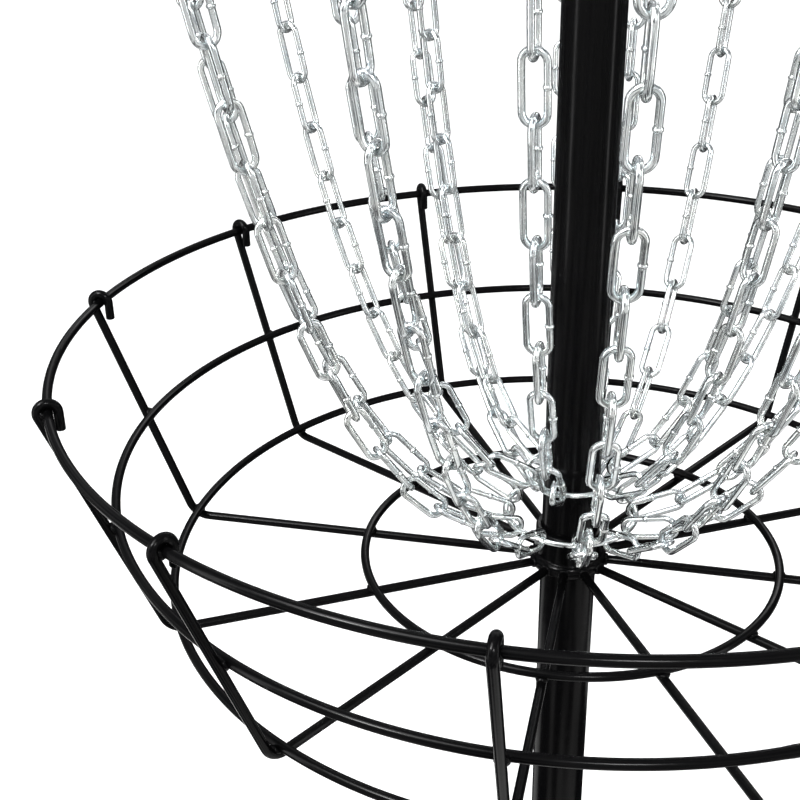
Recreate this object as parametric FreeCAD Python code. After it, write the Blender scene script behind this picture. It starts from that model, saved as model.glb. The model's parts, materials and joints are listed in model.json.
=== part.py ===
import FreeCAD, Part
import math
import os
from FreeCAD import Matrix, Vector

# Disc golf basket: a free-standing base, a two-piece pole, a wire basket and a ring of hanging chains.
# Millimetres. The origin is on the ground under the pole, and +Z is up.

# Heights
RIM_Z = 820.0                 # basket rim above the ground
MID_RING_DROP = 82.0          # middle ring below the rim
FLOOR_DROP = 158.0            # inner floor ring below the rim
HANGER_RISE = 514.0           # hanger rings above the rim

# Pole
POLE_OD = 38.1
POLE_WALL = 2.0
SPIGOT_OD = 33.5              # reduced end of the upper pole
SPIGOT_LENGTH = 110.0
SLIP_GAP = 0.3                # between pieces that slide on each other

# Basket
WIRE = 6.0                    # basket wire diameter
WELD_GAP = 0.02               # between wires that are welded where they cross
HOLE_PLAY = 0.2               # round a bolt or stud in its hole
RIM_R = 330.0
INNER_FLOOR_RING_R = 141.0
RIB_COUNT = 12
RIB_PHASE = 25.0              # azimuth of rib 1
RIB_LEAN = 20.5               # degrees out from the vertical
RIB_BEND_R = 15.0
RIB_HOOK_LEG = 12.0           # inner leg of the hook over the rim
HUB_OD = 46.0
HUB_LIP_OD = 52.0
HUB_LIP_HEIGHT = 9.0
HUB_HEIGHT = 30.0
SCREW_D = 6.0                 # set screws of both hubs
SCREW_KEY_R = 1.7             # hexagon socket, centre to corner
SCREW_PROUD = 2.0

# Chain
LINK_WIRE = 4.0
LINK_PITCH = 33.7
LINK_PLAY = 0.3               # a link's inside length beyond the pitch
LINK_INNER_WIDTH = 9.0
WELD_BEAD_R = 2.35
WELD_BEAD_LENGTH = 3.2
RING_PLAY = 0.8               # between a last link and its collector ring
HOOK_R = 7.0                  # centreline radius of the S-hook's bows
HOOK_BOW_DISTANCE = 34.0
HOOK_PLAY = 0.5
TIERS = (
    # name, strands, azimuth of the first, links, hanger ring radius, collector radius and drop below the rim
    ("outer_chain", 12, 5.0, 20, 280.0, 44.0, 128.0),
    ("inner_chain", 6, 20.0, 18, 170.0, 31.0, 98.0),
)

# Chain hanger
HANGER_WIRE = 6.0
ARM_D = 8.0
ARM_COUNT = 4
ARM_PHASE = 57.5              # midway between strands of both tiers
ARM_END_D = 6.0               # threaded end that the cap nut takes
ARM_END_LENGTH = 9.0
HANGER_HUB_HEIGHT = 44.0
BAND_R = 303.0
BAND_HEIGHT = 76.0
BAND_THICKNESS = 1.5
HEM = 1.8                     # rolled edges of the band, beyond its outer face
HEM_HEIGHT = 5.0
NUT_CORNER_R = 5.8
NUT_HEIGHT = 5.0
NUT_DOME_R = 4.9
CAP_HEIGHT = 9.0

# Base
BASE_RING_R = 285.0
BASE_TUBE = 22.0
FOOT_HEIGHT = 4.0
FOOT_COUNT = 6
FOOT_PHASE = 0.0              # clear of the legs
FOOT_LENGTH = 46.0
FOOT_WIDTH = 26.0
FOOT_TOP = 11.0
LEG_COUNT = 3
LEG_PHASE = 90.0
LEG_TOP_Z = 62.0
SOCKET_OD = 45.0
SOCKET_TOP = 168.0
SOCKET_FOOT = 6.0
STOP_THICKNESS = 5.0
CLAMP_Z = 128.0
CLAMP_AZIMUTH = 300.0
STUD_D = 8.0
BOSS_D = 18.0
BOSS_PROUD = 9.0              # beyond the socket's outside
KNOB_GAP = 0.5                # between boss and knob
KNOB_NECK = 2.0
KNOB_THICKNESS = 14.0
KNOB_LOBES = 5

INNER_FLOOR_RING_Z = RIM_Z - FLOOR_DROP
SPOKE_Z = INNER_FLOOR_RING_Z - WIRE - WELD_GAP
LEAN = math.radians(RIB_LEAN)
MID_RING_R = RIM_R - MID_RING_DROP * math.tan(LEAN)
RIB_CORNER_R = RIM_R + (WIRE + WELD_GAP) / math.cos(LEAN) - (RIM_Z - SPOKE_Z) * math.tan(LEAN)
RIB_BEND_AT_R = RIB_CORNER_R - RIB_BEND_R * math.tan(0.25 * math.pi - 0.5 * LEAN)
RIB_BEND_AT_Z = SPOKE_Z + RIB_BEND_R
HANGER_Z = RIM_Z + HANGER_RISE
ARM_Z = HANGER_Z + 0.5 * (HANGER_WIRE + ARM_D) + WELD_GAP
BORE_R = 0.5 * POLE_OD + SLIP_GAP
POLE_JOINT_Z = SPOKE_Z + 8.0
POLE_TOP_Z = ARM_Z + 42.0
POLE_FOOT_Z = SOCKET_FOOT + STOP_THICKNESS + SLIP_GAP
BASE_RING_Z = FOOT_HEIGHT + 0.5 * BASE_TUBE
X = Vector(1, 0, 0)
Y = Vector(0, 1, 0)
Z = Vector(0, 0, 1)
ORIGIN = Vector(0, 0, 0)
THROUGH = 60.0                # longer than any wall that a hole goes through


def polar(radius, azimuth, z):
    angle = math.radians(azimuth)
    return Vector(radius * math.cos(angle), radius * math.sin(angle), z)


def turned(shape, azimuth):
    result = shape.copy()
    result.rotate(ORIGIN, Z, azimuth)
    return result


def ring(radius, wire, z):
    return Part.makeTorus(radius, 0.5 * wire, Vector(0, 0, z))


def tube(outer_r, inner_r, low, high):
    outer = Part.makeCylinder(outer_r, high - low, Vector(0, 0, low))
    return outer.cut(Part.makeCylinder(inner_r, high - low + 2.0, Vector(0, 0, low - 1.0)))


def lathe(profile):
    """Solid of revolution about Z from (radius, z) corners."""
    points = [Vector(r, 0, z) for r, z in profile]
    face = Part.Face(Part.makePolygon(points + points[:1]))
    return face.revolve(ORIGIN, Z, 360)


def rod(edges, diameter):
    """Round wire that follows edges laid end to end."""
    path = Part.Wire(edges)
    first = edges[0]
    start = first.valueAt(first.FirstParameter)
    along = first.tangentAt(first.FirstParameter)
    circle = Part.Wire(Part.makeCircle(0.5 * diameter, start, along))
    return path.makePipeShell([circle], True, False)


def arc(centre, radius, first, last):
    """Arc in the XZ plane, angles in degrees from +X towards +Z."""
    def on_arc(angle):
        turn = math.radians(angle)
        return centre + Vector(radius * math.cos(turn), 0, radius * math.sin(turn))
    return Part.Arc(on_arc(first), on_arc(0.5 * (first + last)), on_arc(last)).toShape()


def line(first, last):
    return Part.LineSegment(first, last).toShape()


def end_of(edge):
    return edge.valueAt(edge.LastParameter)


def start_of(edge):
    return edge.valueAt(edge.FirstParameter)


# ---------------------------------------------------------------- basket

def rib():
    """One basket wire at azimuth 0: spoke, bend, leaning upright, and hook over the rim."""
    around_rim = WIRE + WELD_GAP
    hook = arc(Vector(RIM_R, 0, RIM_Z), around_rim, -RIB_LEAN, 180.0)
    bend = arc(Vector(RIB_BEND_AT_R, 0, RIB_BEND_AT_Z), RIB_BEND_R, -90.0, -RIB_LEAN)
    spoke = line(Vector(0.5 * HUB_LIP_OD - 2.0, 0, SPOKE_Z), start_of(bend))
    upright = line(end_of(bend), start_of(hook))
    leg = line(end_of(hook), end_of(hook) - Z * RIB_HOOK_LEG)
    wire = rod([spoke, bend, upright, hook, leg], WIRE)
    bore = Part.makeCylinder(0.5 * HUB_LIP_OD + WELD_GAP, THROUGH, Vector(0, 0, SPOKE_Z - 0.5 * THROUGH))
    return wire.cut(bore)


def floor_ring():
    """Ring that lies in the middle of the ribs' bends."""
    nest = RIB_BEND_R - WIRE - WELD_GAP
    turn = -0.25 * math.pi - 0.5 * LEAN
    return ring(RIB_BEND_AT_R + nest * math.cos(turn), WIRE, RIB_BEND_AT_Z + nest * math.sin(turn))


def basket_hub():
    low = SPOKE_Z - 0.5 * HUB_LIP_HEIGHT
    lip = 0.5 * HUB_LIP_OD
    collar = 0.5 * HUB_OD
    body = lathe([
        (BORE_R, low), (lip, low), (lip, low + HUB_LIP_HEIGHT), (collar, low + HUB_LIP_HEIGHT + 3.0),
        (collar, low + HUB_HEIGHT), (BORE_R, low + HUB_HEIGHT),
    ])
    lip_edges = [e for e in body.Edges if e.Closed and abs(e.BoundBox.XMax - lip) < 0.01]
    body = body.makeFillet(2.5, lip_edges)
    top_edges = [e for e in body.Edges if e.Closed and e.BoundBox.ZMin > low + HUB_HEIGHT - 0.01
                 and abs(e.BoundBox.XMax - collar) < 0.01]
    return body.makeFillet(1.2, top_edges)


def hexagon(corner_r, x, z):
    """Hexagonal face square to X."""
    turns = [math.radians(60 * k) for k in range(7)]
    return Part.Face(Part.makePolygon([
        Vector(x, corner_r * math.cos(turn), z + corner_r * math.sin(turn)) for turn in turns
    ]))


def set_screws(azimuths, z, collar_r):
    """Socket set screws that clamp a collar to the pole."""
    tip = 0.5 * POLE_OD + WELD_GAP
    head = collar_r + SCREW_PROUD
    screw = Part.makeCylinder(0.5 * SCREW_D, head - tip, Vector(tip, 0, z), X)
    screw = screw.cut(hexagon(SCREW_KEY_R, head - 0.5 * SCREW_D, z).extrude(X * SCREW_D))
    return [turned(screw, azimuth) for azimuth in azimuths]


def drilled(collar, azimuths, z):
    """Collar with clearance for its set screws."""
    hole = Part.makeCylinder(0.5 * SCREW_D + WELD_GAP, THROUGH, Vector(0, 0, z), X)
    for azimuth in azimuths:
        collar = collar.cut(turned(hole, azimuth))
    return collar


# ---------------------------------------------------------------- chain

def hanging(across, drop, lengths):
    """Directions of straight pieces that hang in equilibrium from a point to one across and below it."""
    total = sum(lengths)

    def slopes(pull, lift):
        below = 0.0
        directions = []
        for length in lengths:
            down = lift - (below + 0.5 * length)
            below += length
            size = math.hypot(pull, down)
            directions.append((-pull / size, -down / size))
        return directions

    def reach(directions, axis):
        return -sum(d[axis] * length for d, length in zip(directions, lengths))

    def solved_lift(pull):
        low, high = 0.0, 40.0 * total
        for _ in range(80):
            middle = 0.5 * (low + high)
            if reach(slopes(pull, middle), 1) < drop:
                low = middle
            else:
                high = middle
        return 0.5 * (low + high)

    low, high = 0.001 * total, 20.0 * total
    for _ in range(80):
        pull = 0.5 * (low + high)
        if reach(slopes(pull, solved_lift(pull)), 0) < across:
            low = pull
        else:
            high = pull
    return [Vector(x, 0, z) for x, z in slopes(pull, solved_lift(pull))]


def chain_link():
    """Welded long link: length along X, width along Y, centred on the origin."""
    bow = 0.5 * (LINK_INNER_WIDTH + LINK_WIRE)
    half = 0.5 * (LINK_PITCH + LINK_PLAY) - 0.5 * LINK_INNER_WIDTH
    right = Part.Arc(Vector(half, -bow, 0), Vector(half + bow, 0, 0), Vector(half, bow, 0)).toShape()
    left = Part.Arc(Vector(-half, bow, 0), Vector(-half - bow, 0, 0), Vector(-half, -bow, 0)).toShape()
    top = line(Vector(half, bow, 0), Vector(-half, bow, 0))
    bottom = line(Vector(-half, -bow, 0), Vector(half, -bow, 0))
    body = rod([bottom, right, top, left], LINK_WIRE)
    bead = Part.makeCylinder(WELD_BEAD_R, WELD_BEAD_LENGTH, Vector(-0.5 * WELD_BEAD_LENGTH, bow, 0), X)
    bead = bead.makeChamfer(0.3, [e for e in bead.Edges if e.Closed])
    return body.fuse(bead)


def s_hook():
    """Planar S-hook in the XZ plane: upper bow centred on the origin, hanging along -Z."""
    lean = math.degrees(math.asin(2.0 * HOOK_R / HOOK_BOW_DISTANCE))
    below = Vector(0, 0, -HOOK_BOW_DISTANCE)
    upper = arc(ORIGIN, HOOK_R, -20.0, 180.0 + lean)
    lower = arc(below, HOOK_R, lean, -200.0)
    return rod([upper, line(end_of(upper), start_of(lower)), lower], LINK_WIRE)


def placed(shape, along, across, at):
    """Copy with local X along, local Y across, moved to a point."""
    normal = along.cross(across)
    matrix = Matrix(
        along.x, across.x, normal.x, at.x,
        along.y, across.y, normal.y, at.y,
        along.z, across.z, normal.z, at.z,
        0, 0, 0, 1)
    return shape.transformed(matrix)


def strand(link, hook, links, hanger_r, collector_r, collector_drop):
    """Hook and links of one strand at azimuth 0, hanging as a chain does."""
    top = Vector(hanger_r, 0, HANGER_Z)
    bow_inside = HOOK_R - 0.5 * LINK_WIRE
    hook_drop = bow_inside - 0.5 * HANGER_WIRE - HOOK_PLAY
    hook_length = hook_drop + HOOK_BOW_DISTANCE + bow_inside - 0.5 * LINK_PLAY
    to_ring = 0.5 * (LINK_WIRE - LINK_PLAY) + RING_PLAY
    lengths = [hook_length] + [LINK_PITCH] * (links - 1) + [LINK_PITCH - to_ring]
    drop = HANGER_RISE + collector_drop
    directions = hanging(hanger_r - collector_r, drop, lengths)
    first = directions[0]
    pieces = [placed(hook, first.cross(Y), Y, top + first * hook_drop)]
    joint = top + first * hook_length
    for number, along in enumerate(directions[1:]):
        across = Y if number % 2 == 0 else Y.cross(along)
        pieces.append(placed(link, along, across, joint + along * (0.5 * LINK_PITCH)))
        joint = joint + along * LINK_PITCH
    return pieces


# ---------------------------------------------------------------- poles

def lower_pole():
    return tube(0.5 * POLE_OD, 0.5 * POLE_OD - POLE_WALL, POLE_FOOT_Z, POLE_JOINT_Z)


def upper_pole():
    """Tube with a reduced lower end that stands in the lower pole."""
    outer = 0.5 * POLE_OD
    inner = outer - POLE_WALL
    spigot = 0.5 * SPIGOT_OD
    spigot_inner = spigot - POLE_WALL
    shoulder = POLE_JOINT_Z + SLIP_GAP
    tip = shoulder - SPIGOT_LENGTH
    return lathe([
        (spigot_inner, tip), (spigot - 1.0, tip), (spigot, tip + 3.0), (spigot, shoulder),
        (outer, shoulder), (outer, POLE_TOP_Z), (inner, POLE_TOP_Z), (inner, shoulder + 8.0),
        (spigot_inner, shoulder + 2.0),
    ])


def pole_cap():
    """Plug with a domed head."""
    head = 0.5 * POLE_OD + 0.6
    plug = 0.5 * POLE_OD - POLE_WALL - 0.05
    low = POLE_TOP_Z + 0.05
    body = lathe([
        (0.0, low - 16.0), (plug - 1.0, low - 16.0), (plug, low - 13.0), (plug, low), (head, low),
        (head, low + 0.5 * CAP_HEIGHT), (0.8 * head, low + 0.85 * CAP_HEIGHT),
        (0.45 * head, low + CAP_HEIGHT), (0.0, low + CAP_HEIGHT),
    ])
    return body


# ---------------------------------------------------------------- hanger

def hanger_hub():
    half = 0.5 * HANGER_HUB_HEIGHT
    outer = 0.5 * HUB_OD
    return lathe([
        (BORE_R, ARM_Z - half), (outer - 1.5, ARM_Z - half), (outer, ARM_Z - half + 1.5),
        (outer, ARM_Z + half - 1.5), (outer - 1.5, ARM_Z + half), (BORE_R, ARM_Z + half),
    ])


def hanger_arm():
    """Round bar from the hub out through the band, with a reduced threaded end."""
    start = 0.5 * HUB_OD - 2.0
    inside_band = BAND_R - 0.5 * BAND_THICKNESS - WELD_GAP
    shoulder = math.sqrt(inside_band ** 2 - (0.5 * ARM_D) ** 2)
    bar = Part.makeCylinder(0.5 * ARM_D, shoulder - start, Vector(start, 0, ARM_Z), X)
    bar = bar.fuse(Part.makeCylinder(0.5 * ARM_END_D, ARM_END_LENGTH, Vector(shoulder, 0, ARM_Z), X))
    hub = Part.makeCylinder(0.5 * HUB_OD + WELD_GAP, THROUGH, Vector(0, 0, ARM_Z - 0.5 * THROUGH))
    return bar.cut(hub)


def arm_azimuths():
    return [ARM_PHASE + 360.0 / ARM_COUNT * k for k in range(ARM_COUNT)]


def band():
    """Sheet hoop with hemmed edges and a hole for each arm's end."""
    low = ARM_Z - 0.5 * BAND_HEIGHT
    high = ARM_Z + 0.5 * BAND_HEIGHT
    inner = BAND_R - 0.5 * BAND_THICKNESS
    outer = BAND_R + 0.5 * BAND_THICKNESS
    slope = HEM_HEIGHT + HEM
    body = lathe([
        (inner, low), (outer + HEM, low), (outer + HEM, low + HEM_HEIGHT), (outer, low + slope),
        (outer, high - slope), (outer + HEM, high - HEM_HEIGHT), (outer + HEM, high), (inner, high),
    ])
    start = Vector(BAND_R - 0.5 * THROUGH, 0, ARM_Z)
    hole = Part.makeCylinder(0.5 * ARM_END_D + HOLE_PLAY, THROUGH, start, X)
    for azimuth in arm_azimuths():
        body = body.cut(turned(hole, azimuth))
    return body


def cap_nut():
    """Domed nut on an arm's threaded end, outside the band."""
    face = BAND_R + 0.5 * BAND_THICKNESS + WELD_GAP
    body = hexagon(NUT_CORNER_R, face, ARM_Z).extrude(X * NUT_HEIGHT)
    body = body.fuse(Part.makeSphere(NUT_DOME_R, Vector(face + NUT_HEIGHT, 0, ARM_Z), X, 0, 90, 360))
    start = Vector(BAND_R - 0.5 * BAND_THICKNESS, 0, ARM_Z)
    thread = Part.makeCylinder(0.5 * ARM_END_D + WELD_GAP, ARM_END_LENGTH + WELD_GAP, start, X)
    return body.cut(thread)


# ---------------------------------------------------------------- base

def leg_ends():
    return Vector(0, 0, LEG_TOP_Z), Vector(BASE_RING_R, 0, BASE_RING_Z)


def base_leg():
    top, foot = leg_ends()
    along = foot - top
    body = Part.makeCylinder(0.5 * BASE_TUBE, along.Length, top, along)
    body = body.cut(Part.makeTorus(BASE_RING_R, 0.5 * BASE_TUBE + WELD_GAP, Vector(0, 0, BASE_RING_Z)))
    body = body.cut(Part.makeCylinder(0.5 * SOCKET_OD + WELD_GAP, SOCKET_TOP))
    return max(body.Solids, key=lambda solid: solid.Volume)


def clamp_hole():
    """Room for the stud, through the socket's wall and the boss."""
    return Part.makeCylinder(0.5 * STUD_D + SLIP_GAP, THROUGH, Vector(0, 0, CLAMP_Z), X)


def base_socket():
    """Deep cup that the pole stands in, on the cup's thick floor."""
    outer = 0.5 * SOCKET_OD
    floor = SOCKET_FOOT + STOP_THICKNESS
    body = lathe([
        (0.0, SOCKET_FOOT), (outer - 1.5, SOCKET_FOOT), (outer, SOCKET_FOOT + 1.5),
        (outer, SOCKET_TOP - 1.0), (outer - 1.0, SOCKET_TOP), (BORE_R + 0.8, SOCKET_TOP),
        (BORE_R, SOCKET_TOP - 0.8), (BORE_R, floor), (0.0, floor),
    ])
    return body.cut(turned(clamp_hole(), CLAMP_AZIMUTH))


def base_foot():
    """Rubber pad moulded to the underside of the base ring."""
    corner = Vector(BASE_RING_R - 0.5 * FOOT_WIDTH, -0.5 * FOOT_LENGTH, 0)
    pad = Part.makeBox(FOOT_WIDTH, FOOT_LENGTH, FOOT_TOP, corner)
    pad = pad.makeFillet(3.0, [e for e in pad.Edges if e.BoundBox.ZLength > 0.9 * FOOT_TOP])
    return pad.cut(Part.makeTorus(BASE_RING_R, 0.5 * BASE_TUBE + WELD_GAP, Vector(0, 0, BASE_RING_Z)))


def clamp_boss():
    """Threaded boss welded to the socket."""
    outer = 0.5 * SOCKET_OD
    boss = Part.makeCylinder(0.5 * BOSS_D, outer + BOSS_PROUD, Vector(0, 0, CLAMP_Z), X)
    boss = boss.cut(Part.makeCylinder(outer + WELD_GAP, THROUGH, Vector(0, 0, CLAMP_Z - 0.5 * THROUGH)))
    return boss.cut(clamp_hole())


def knob_faces():
    """Distances of the knob's inner and outer faces from the pole's axis."""
    inner = 0.5 * SOCKET_OD + BOSS_PROUD + KNOB_GAP + KNOB_NECK
    return inner, inner + KNOB_THICKNESS


def clamp_stud():
    tip = 0.5 * POLE_OD + SLIP_GAP
    end = knob_faces()[1] - KNOB_NECK
    return Part.makeCylinder(0.5 * STUD_D, end - tip, Vector(tip, 0, CLAMP_Z), X)


def clamp_knob():
    """Lobed knob moulded on the stud."""
    inner, outer = knob_faces()
    knob = Part.makeCylinder(15.0, KNOB_THICKNESS, Vector(inner, 0, CLAMP_Z), X)
    for k in range(KNOB_LOBES):
        angle = math.radians(360.0 / KNOB_LOBES * k + 90.0)
        at = Vector(inner, 14.0 * math.cos(angle), CLAMP_Z + 14.0 * math.sin(angle))
        knob = knob.fuse(Part.makeCylinder(6.5, KNOB_THICKNESS, at, X))
    neck = Part.makeCylinder(8.0, KNOB_NECK + 1.0, Vector(inner - KNOB_NECK, 0, CLAMP_Z), X)
    knob = knob.fuse(neck).removeSplitter()
    bore = Part.makeCylinder(0.5 * STUD_D + WELD_GAP, outer - KNOB_NECK + WELD_GAP, Vector(0, 0, CLAMP_Z), X)
    return knob.cut(bore)


# ---------------------------------------------------------------- export

def export(name, solids):
    shape = solids[0] if len(solids) == 1 else Part.makeCompound(solids)
    shape.exportStep("parts/%s.step" % name)


os.makedirs("parts", exist_ok=True)

export("rim_ring", [ring(RIM_R, WIRE, RIM_Z)])
export("middle_ring", [ring(MID_RING_R, WIRE, RIM_Z - MID_RING_DROP)])
export("floor_ring", [floor_ring()])
export("inner_floor_ring", [ring(INNER_FLOOR_RING_R, WIRE, INNER_FLOOR_RING_Z)])
for index in range(RIB_COUNT):
    export("basket_rib_%02d" % (index + 1), [turned(rib(), RIB_PHASE + 360.0 / RIB_COUNT * index)])

HUB_SCREW_Z = SPOKE_Z + 17.0
HUB_SCREW_AZIMUTHS = (205.0, 25.0)
export("basket_hub", [drilled(basket_hub(), HUB_SCREW_AZIMUTHS, HUB_SCREW_Z)])
export("hub_set_screws", set_screws(HUB_SCREW_AZIMUTHS, HUB_SCREW_Z, 0.5 * HUB_OD))

export("lower_pole", [lower_pole()])
export("upper_pole", [upper_pole()])
export("pole_cap", [pole_cap()])

LINK = chain_link()
HOOK = s_hook()
for name, count, phase, links, hanger_r, collector_r, collector_drop in TIERS:
    pieces = strand(LINK, HOOK, links, hanger_r, collector_r, collector_drop)
    for index in range(count):
        azimuth = phase + 360.0 / count * index
        export("%s_%02d" % (name, index + 1), [turned(piece, azimuth) for piece in pieces])
    tier = name.split("_")[0]
    export("%s_hanger_ring" % tier, [ring(hanger_r, HANGER_WIRE, HANGER_Z)])
    export("%s_collector_ring" % tier, [ring(collector_r, LINK_WIRE, RIM_Z - collector_drop)])

HANGER_SCREW_Z = ARM_Z + 13.0
HANGER_SCREW_AZIMUTHS = (270.0, 90.0)
export("hanger_hub", [drilled(hanger_hub(), HANGER_SCREW_AZIMUTHS, HANGER_SCREW_Z)])
export("hanger_set_screws", set_screws(HANGER_SCREW_AZIMUTHS, HANGER_SCREW_Z, 0.5 * HUB_OD))
for index, azimuth in enumerate(arm_azimuths()):
    export("hanger_arm_%d" % (index + 1), [turned(hanger_arm(), azimuth)])
export("band", [band()])
export("band_nuts", [turned(cap_nut(), azimuth) for azimuth in arm_azimuths()])

export("base_ring", [ring(BASE_RING_R, BASE_TUBE, BASE_RING_Z)])
for index in range(LEG_COUNT):
    export("base_leg_%d" % (index + 1), [turned(base_leg(), LEG_PHASE + 360.0 / LEG_COUNT * index)])
export("base_socket", [base_socket()])
export("base_feet", [turned(base_foot(), FOOT_PHASE + 360.0 / FOOT_COUNT * k) for k in range(FOOT_COUNT)])
export("clamp_boss", [turned(clamp_boss(), CLAMP_AZIMUTH)])
export("clamp_stud", [turned(clamp_stud(), CLAMP_AZIMUTH)])
export("clamp_knob", [turned(clamp_knob(), CLAMP_AZIMUTH)])
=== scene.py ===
import json
import math
import random

import bpy
import numpy as np
from mathutils import Matrix, Vector


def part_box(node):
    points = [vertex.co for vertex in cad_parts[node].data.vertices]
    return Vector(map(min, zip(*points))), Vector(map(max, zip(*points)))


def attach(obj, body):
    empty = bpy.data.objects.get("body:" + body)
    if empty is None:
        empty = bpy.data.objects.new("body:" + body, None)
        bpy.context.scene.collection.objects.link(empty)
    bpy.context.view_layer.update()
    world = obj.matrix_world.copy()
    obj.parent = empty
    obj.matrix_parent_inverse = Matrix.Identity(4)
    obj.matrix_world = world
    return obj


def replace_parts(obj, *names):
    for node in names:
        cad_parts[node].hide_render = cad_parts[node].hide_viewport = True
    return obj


# A disc golf basket: black wire basket, two tiers of bright zinc chains, banded hanger and round base.
# Metres, in the frame of the CAD model. Wires, chains and small moulded pieces are rebuilt finely here,
# and the welds that hold the wires together are added.

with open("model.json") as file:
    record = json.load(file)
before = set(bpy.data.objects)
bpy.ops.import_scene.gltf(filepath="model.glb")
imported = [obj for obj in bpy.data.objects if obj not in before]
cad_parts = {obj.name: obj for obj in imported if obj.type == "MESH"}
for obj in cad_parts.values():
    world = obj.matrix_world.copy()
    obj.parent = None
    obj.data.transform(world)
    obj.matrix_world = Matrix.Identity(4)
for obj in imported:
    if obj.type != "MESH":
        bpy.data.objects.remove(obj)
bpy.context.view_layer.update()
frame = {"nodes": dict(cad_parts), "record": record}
NODES = frame["nodes"]
BODIES = frame["record"]["behaviour"]["bodies"]
BODY_OF = {node: body for body, members in BODIES.items() for node in members}
SLOT_OF = {part["node"]: part["material_slot"] for part in frame["record"]["subparts"]}
RIBS = sorted(n for n in NODES if n.startswith("basket_rib_"))
ARMS = sorted(n for n in NODES if n.startswith("hanger_arm_"))
LEGS = sorted(n for n in NODES if n.startswith("base_leg_"))
RNG = random.Random(11)

# Chain links and hooks
LINK_WIRE = 0.004
LINK_BOW_R = 0.0065           # centreline radius of a link's rounded ends
LINK_HALF_STRAIGHT = 0.0125
LINK_SQUEEZE = 0.00012        # most that a link's welded side bows in or out
LINK_SHAPES = 6               # slightly different links, dealt out along the strands
WELD_RISE = 0.0006            # upset ridge of the link's butt weld
WELD_HALF_WIDTH = 0.0008
WELD_OFFSET = 0.0012          # most that it lies off the link's middle
CAD_BEAD_REACH = 0.0015       # along a CAD link from its middle, to points of its weld bead alone
DRAWN_WAVE = 0.00002          # unevenness of the drawn wire
DRAWN_WAVE_RATE = 900.0       # radians per metre
HOOK_R = 0.007
HOOK_BOW_DISTANCE = 0.034
HOOK_TIP = math.radians(-20.0)      # where the upper bow is cut off
HOOK_FOOT = math.radians(-200.0)    # and the lower one

# Wire rings, and points round each sort of wire
RING_STEP = 0.006             # between the points along a ring
RING_LEAST_POINTS = 96
SEAM_RISE = 0.1               # of a ring's butt weld, over the wire's radius
SEAM_WIDTH = 1.4              # and its width
LINK_SIDES = 14               # of links and hooks
WIRE_SIDES = 20               # of rings and ribs
BEAD_SIDES = 10

# Basket ribs
RIB_LEAN = math.radians(20.5)
RIB_BEND_R = 0.015
RIB_HOOK_LEG = 0.012          # inner leg of the hook over the rim
RIB_END = 0.0008              # depth of the rounding at its cut end

# Pole, hubs and base
POLE_WALL = 0.002
SPIGOT_R = 0.01675            # reduced end of the upper pole
SPIGOT_LENGTH = 0.11
HUB_R = 0.023
HUB_LIP_HEIGHT = 0.009
SLIP_GAP = 0.0003             # between a pole and the collars round it
SOCKET_FLOOR = 0.005
FOOT_HALF_SIZE = (0.013, 0.023)     # across and along the base ring
LEG_TOP_Z = 0.062             # where the legs' axes meet the pole's

# Knob
KNOB_LOBES = 5
KNOB_HOLLOW = 0.13            # depth of the hollows between lobes, over twice the knob's radius
KNOB_NECK = 0.002
KNOB_NECK_R = 0.008
KNOB_PLUG_R = 0.0062

# Spot welds, half their width
RIB_SPOT = 0.0042
RIM_SPOT = 0.0040
ARM_SPOT = 0.0052
SPOT_DEPTH = 0.55             # half their depth, over half their width

# Beads round the ends of bars
SPOKE_BEAD_R = 0.0012
ARM_BEAD_R = 0.0016
LEG_BEAD_R = 0.0022
BOSS_BEAD_R = 0.0014
RIPPLE_PITCH = 0.0017
POINTS_PER_RIPPLE = 8
RIPPLE = 0.1                  # over the bead's radius
WANDER = 0.07                 # slow change of the bead's radius
WANDER_WAVES = 3              # round the bar
HUB_MARGIN = 0.01             # outside a hub, where the search for its surface starts
BOSS_REACH = 0.03             # more than the way from the boss's middle to the socket's wall
HALVINGS = 30

# Camera
CAMERA_AT = (-0.0011, -0.7559, 1.1461)
CAMERA_YAW = -8.646           # degrees to the right of +Y
CAMERA_PITCH = 26.205         # degrees below the horizon
CAMERA_ROLL = 1.125
CAMERA_LENS = 57.46

# Light
ROOM_LOW = (0.05, 0.05, 0.053)  # what the object reflects near the horizon and overhead
ROOM_HIGH = (0.36, 0.37, 0.39)
ROOM_PANELS = (1.0, 1.0, 1.01)
PANEL_SCALE = 2.2
PANEL_EDGE = (0.53, 0.6)      # of the noise, from the plain room to a panel
PANEL_FALL = 0.06             # fewer panels behind the object
FLOOR_DARK = (0.015, 0.015, 0.017)    # and the dark and light cards on the floor
FLOOR_LIGHT = (0.58, 0.58, 0.57)
CARD_SCALE = 1.5
CARD_EDGE = (0.5, 0.58)
CARD_FALL = 0.035
FLOOR_SEEN_LOW = (0.89, 0.89, 0.89)   # the floor as the camera sees it
FLOOR_SEEN_HIGH = (0.92, 0.92, 0.92)
FLOOR_R = 30.0
SUN_STRENGTH = 3.0
SUN_SPREAD = 32.0             # degrees across
SUN_FROM = (-0.45, -0.35, 0.8)
SOFTBOXES = (                 # name, place, size and watts; all aim at the basket's centre
    ("left_strip", (-1.7, -0.9, 0.95), (0.25, 1.8), 9.0),
    ("right_strip", (1.8, -0.4, 0.95), (0.18, 1.8), 7.0),
    ("back_strip", (0.5, 1.9, 2.0), (1.5, 0.25), 8.0),
    ("key_left", (-1.3, -1.4, 2.3), (0.35, 0.5), 48.0),
    ("key_front", (0.45, -1.9, 2.2), (0.3, 0.3), 28.0),
)


# ---------------------------------------------------------------- mesh building

def unit(rows):
    return rows / np.linalg.norm(rows, axis=-1, keepdims=True)


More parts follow.
